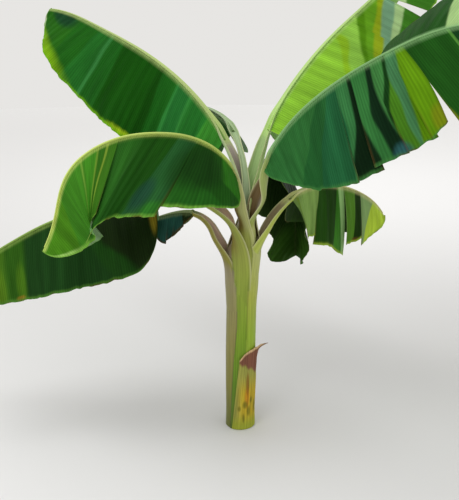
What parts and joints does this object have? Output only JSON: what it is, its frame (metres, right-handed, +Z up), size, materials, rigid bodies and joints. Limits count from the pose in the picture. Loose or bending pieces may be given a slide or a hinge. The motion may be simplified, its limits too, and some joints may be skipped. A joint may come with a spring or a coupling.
{
  "type": "young banana plant",
  "caption": "Young banana plant: a pseudostem of wrapped sheaths that carries a crown of broad folded leaves on channelled petioles, some of them torn into strips.",
  "frame": {"origin": "centre of the flat cut under the pseudostem, at ground level", "axes": "+Z up along the pseudostem; +X towards the large torn leaf on the right of the picture; -Y towards the viewer of the picture"},
  "size_m": [1.5867, 0.9481, 1.3861],
  "materials": {
    "pseudostem": "smooth fleshy sheaths, satin",
    "husk": "dry fibrous sheath, matt",
    "petiole": "smooth fleshy stalk, satin",
    "leaf_mature": "waxy leaf with fine cross veins",
    "leaf_young": "thin new leaf with fine cross veins",
    "leaf_old": "old torn leaf, duller"
  },
  "bodies": {
    "root": {"pseudostem": "pseudostem", "husk": "husk", "petiole_upper_left": "petiole", "petiole_middle_left": "petiole", "petiole_lower_left": "petiole", "petiole_upright": "petiole", "petiole_large_right": "petiole", "petiole_lower_right": "petiole", "petiole_hanging_back": "petiole", "petiole_ragged_left": "petiole", "petiole_small_back": "petiole", "leaf_upper_left": "leaf_mature", "leaf_middle_left": "leaf_mature", "leaf_middle_left_tip": "leaf_mature", "leaf_lower_left": "leaf_mature", "leaf_upright": "leaf_young", "leaf_large_right": "leaf_mature", "leaf_lower_right": "leaf_old", "leaf_hanging_back": "leaf_mature", "leaf_hanging_back_tip": "leaf_mature", "leaf_ragged_left": "leaf_old", "leaf_small_back": "leaf_mature"}
  },
  "joints": []
}
